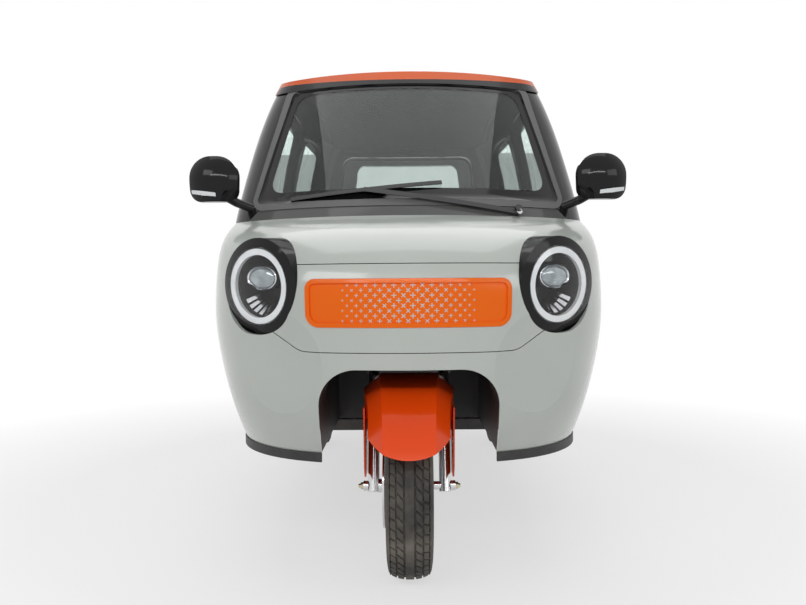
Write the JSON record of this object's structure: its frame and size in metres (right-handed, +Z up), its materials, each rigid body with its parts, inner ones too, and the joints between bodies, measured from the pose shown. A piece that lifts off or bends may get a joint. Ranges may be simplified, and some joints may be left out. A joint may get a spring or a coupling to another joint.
{
  "type": "enclosed electric tricycle",
  "caption": "Small enclosed electric tricycle with a steered front wheel, side doors, hatch, orange grille and roof, round headlamps and a two-row cabin",
  "frame": {"origin": "On the floor, under the middle of the overall length and width", "axes": "+X to the right of the picture, +Y from the nose to the tail, +Z up"},
  "size_m": [1.2622, 2.4004, 1.56],
  "materials": {
    "body_white": "gloss pale grey-white paint",
    "grille_orange": "gloss orange moulding",
    "roof_orange": "gloss orange paint",
    "mudguard_orange": "gloss orange-red moulding",
    "gloss_black": "gloss black",
    "trim_black": "grained black moulding",
    "chassis_black": "satin black chassis paint",
    "floor_grey": "ribbed dark grey mat",
    "cast_grey": "rough cast, painted dark",
    "battery_case": "moulded case",
    "seat_leather": "dark artificial leather",
    "seal_rubber": "grey sealing rubber",
    "window_glass": "clear tinted glass",
    "clear_glass": "clear lamp cover",
    "mirror_glass": "silvered mirror",
    "lamp_white": "milky white light guide",
    "lamp_red": "red lamp lens",
    "fork_chrome": "bright plated steel",
    "rim_alloy": "cast alloy",
    "tyre_rubber": "treaded road tyre"
  },
  "bodies": {
    "chassis": {"front_shell": "body_white", "nose_panel": "body_white", "grille_insert": "grille_orange", "headlamps": "gloss_black", "headlamp_lenses": "clear_glass", "headlamp_rings": "lamp_white", "side_frames": "gloss_black", "roof_headers": "gloss_black", "windscreen_seal": "seal_rubber", "windscreen": "window_glass", "quarter_windows": "window_glass", "roof_panel": "roof_orange", "quarter_panels": "body_white", "lower_panels": "body_white", "chassis_frame": "chassis_black", "floor_pan": "floor_grey", "wheel_housings": "trim_black", "rear_axle": "cast_grey", "leaf_springs": "chassis_black", "battery_pack": "battery_case", "front_seat": "seat_leather", "rear_bench": "seat_leather", "dashboard": "trim_black", "mirrors": "gloss_black", "mirror_glasses": "mirror_glass", "wiper": "trim_black", "skirts": "trim_black", "tail_lamps": "lamp_red", "rear_bumper": "trim_black"},
    "steering": {"fork": "fork_chrome", "front_mudguard": "mudguard_orange", "handlebar": "trim_black"},
    "front_wheel": {"front_tyre": "tyre_rubber", "front_rim": "rim_alloy"},
    "rear_wheel_right": {"rear_tyre_right": "tyre_rubber", "rear_rim_right": "rim_alloy"},
    "rear_wheel_left": {"rear_tyre_left": "tyre_rubber", "rear_rim_left": "rim_alloy"},
    "door_right": {"door_panel_right": "body_white", "door_frame_right": "gloss_black", "door_window_right": "window_glass"},
    "door_left": {"door_panel_left": "body_white", "door_frame_left": "gloss_black", "door_window_left": "window_glass"},
    "tailgate": {"tailgate": "body_white", "tailgate_window": "window_glass"}
  },
  "joints": [
    {"name": "steer", "type": "hinge", "parent": "chassis", "child": "steering", "pos_m": [0, -0.89993, 0.22406], "axis": [0, 0.342, 0.9397], "range_deg": [-25, 25]},
    {"name": "front_roll", "type": "hinge", "parent": "steering", "child": "front_wheel", "pos_m": [0, -0.93, 0.235], "axis": [1, 0, 0], "continuous": true},
    {"name": "rear_right_roll", "type": "hinge", "parent": "chassis", "child": "rear_wheel_right", "pos_m": [0.44, 0.69, 0.235], "axis": [1, 0, 0], "continuous": true},
    {"name": "rear_left_roll", "type": "hinge", "parent": "chassis", "child": "rear_wheel_left", "pos_m": [-0.44, 0.69, 0.235], "axis": [1, 0, 0], "continuous": true},
    {"name": "door_right_open", "type": "hinge", "parent": "chassis", "child": "door_right", "pos_m": [0.542, -0.622, 0.73], "axis": [0, 0, -1], "range_deg": [0, 65]},
    {"name": "door_left_open", "type": "hinge", "parent": "chassis", "child": "door_left", "pos_m": [-0.542, -0.622, 0.73], "axis": [0, 0, 1], "range_deg": [0, 65]},
    {"name": "tailgate_open", "type": "hinge", "parent": "chassis", "child": "tailgate", "pos_m": [0, 1, 1.429], "axis": [1, 0, 0], "range_deg": [0, 80]}
  ]
}
